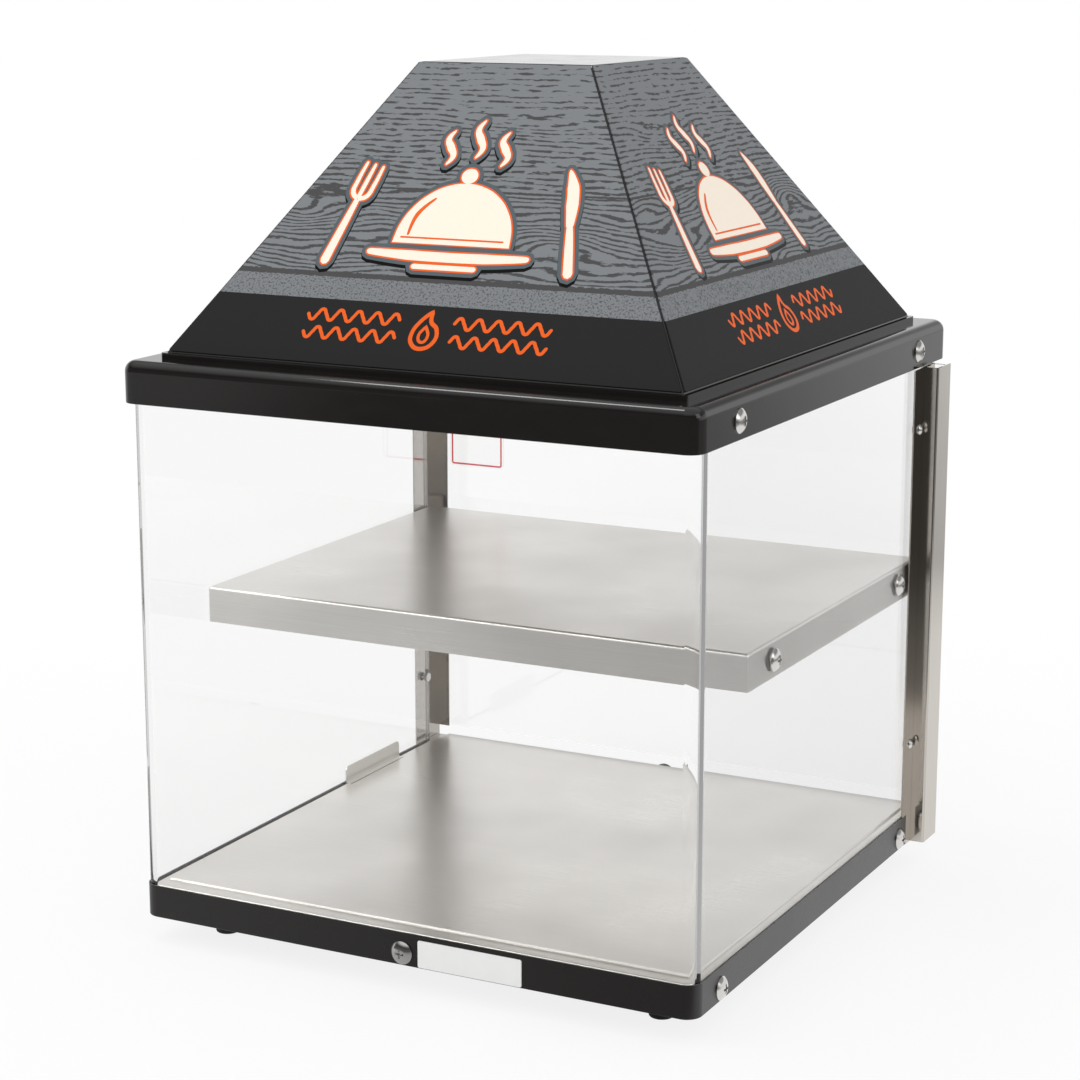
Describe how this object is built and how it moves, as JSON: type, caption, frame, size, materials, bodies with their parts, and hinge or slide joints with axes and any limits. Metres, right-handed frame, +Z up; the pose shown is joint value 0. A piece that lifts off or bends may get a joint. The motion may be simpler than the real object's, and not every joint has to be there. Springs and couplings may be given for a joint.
{
  "type": "heated merchandiser",
  "caption": "Countertop food warmer: heated deck and shelf in a clear case with a rear door, under a black lid and a sloped sign hood.",
  "frame": {"origin": "on the counter surface, under the middle of the lid", "axes": "+X to the right seen from the customer's side, +Y to the server's side at the back, +Z up"},
  "size_m": [0.4804, 0.49, 0.655],
  "materials": {
    "black_enamel": "satin black powder coat on steel sheet",
    "stainless_sheet": "fine brushed stainless sheet",
    "heater_silicone": "moulded silicone heater mat",
    "mineral_blanket": "mineral fibre blanket",
    "foot_rubber": "moulded black rubber",
    "plated_screw": "bright zinc plated steel",
    "clear_acrylic": "clear cast acrylic, polished",
    "lid_plastic": "glossy black moulded plastic",
    "sleeve_plastic": "moulded black plastic",
    "plate_plastic": "white engraved plastic",
    "sign_print": "printed plastic sheet, satin",
    "wire_silicone": "silicone insulated wire",
    "label_film": "white vinyl film with a red border"
  },
  "bodies": {
    "cabinet": {"base_pan": "black_enamel", "rear_panel": "black_enamel", "lower_deck": "stainless_sheet", "deck_guard": "stainless_sheet", "lower_heater": "heater_silicone", "lower_insulation": "mineral_blanket", "foot_front_left": "foot_rubber", "foot_front_right": "foot_rubber", "foot_rear_left": "foot_rubber", "foot_rear_right": "foot_rubber", "foot_screws": "plated_screw", "clear_enclosure": "clear_acrylic", "rear_post_left": "stainless_sheet", "rear_post_right": "stainless_sheet", "wire_channel_left": "stainless_sheet", "wire_channel_right": "stainless_sheet", "post_screws": "plated_screw", "post_nuts": "plated_screw", "channel_wires": "wire_silicone", "upper_shelf": "stainless_sheet", "shelf_cover": "stainless_sheet", "upper_heater": "heater_silicone", "upper_insulation": "mineral_blanket", "shelf_screws": "plated_screw", "wire_sleeve": "sleeve_plastic", "lid_shell": "lid_plastic", "lid_ceiling": "stainless_sheet", "lid_screws": "plated_screw", "base_screws": "plated_screw", "front_screw": "plated_screw", "name_plate": "plate_plastic", "hood_shell": "lid_plastic", "sign_front": "sign_print", "sign_right": "sign_print", "sign_left": "sign_print", "sign_rear": "sign_print", "hood_screws": "plated_screw", "hinge_leaves_post": "stainless_sheet", "hinge_pins": "plated_screw", "magnet_catch": "sleeve_plastic", "switch_housing": "sleeve_plastic", "thermostat_body": "sleeve_plastic", "cord_gland": "sleeve_plastic", "gland_nut": "sleeve_plastic", "terminal_block": "plate_plastic"},
    "door": {"door_panel": "clear_acrylic", "door_pull": "stainless_sheet", "pull_screws": "plated_screw", "hinge_leaves_door": "stainless_sheet", "catch_strike": "plated_screw", "door_label": "label_film"},
    "rocker": {"power_rocker": "sleeve_plastic"},
    "knob": {"thermostat_shaft": "plated_screw", "thermostat_knob": "sleeve_plastic"}
  },
  "joints": [
    {"name": "door_hinge", "type": "hinge", "parent": "cabinet", "child": "door", "pos_m": [-0.2316, 0.2239, 0.2], "axis": [0, 0, 1], "range_deg": [0, 110]},
    {"name": "power_switch", "type": "hinge", "parent": "cabinet", "child": "rocker", "pos_m": [-0.07, 0.2188, 0.0324], "axis": [1, 0, 0], "range_deg": [0, 12]},
    {"name": "thermostat_dial", "type": "hinge", "parent": "cabinet", "child": "knob", "pos_m": [-0.01, 0.2184, 0.0324], "axis": [0, 1, 0], "range_deg": [0, 270]}
  ]
}
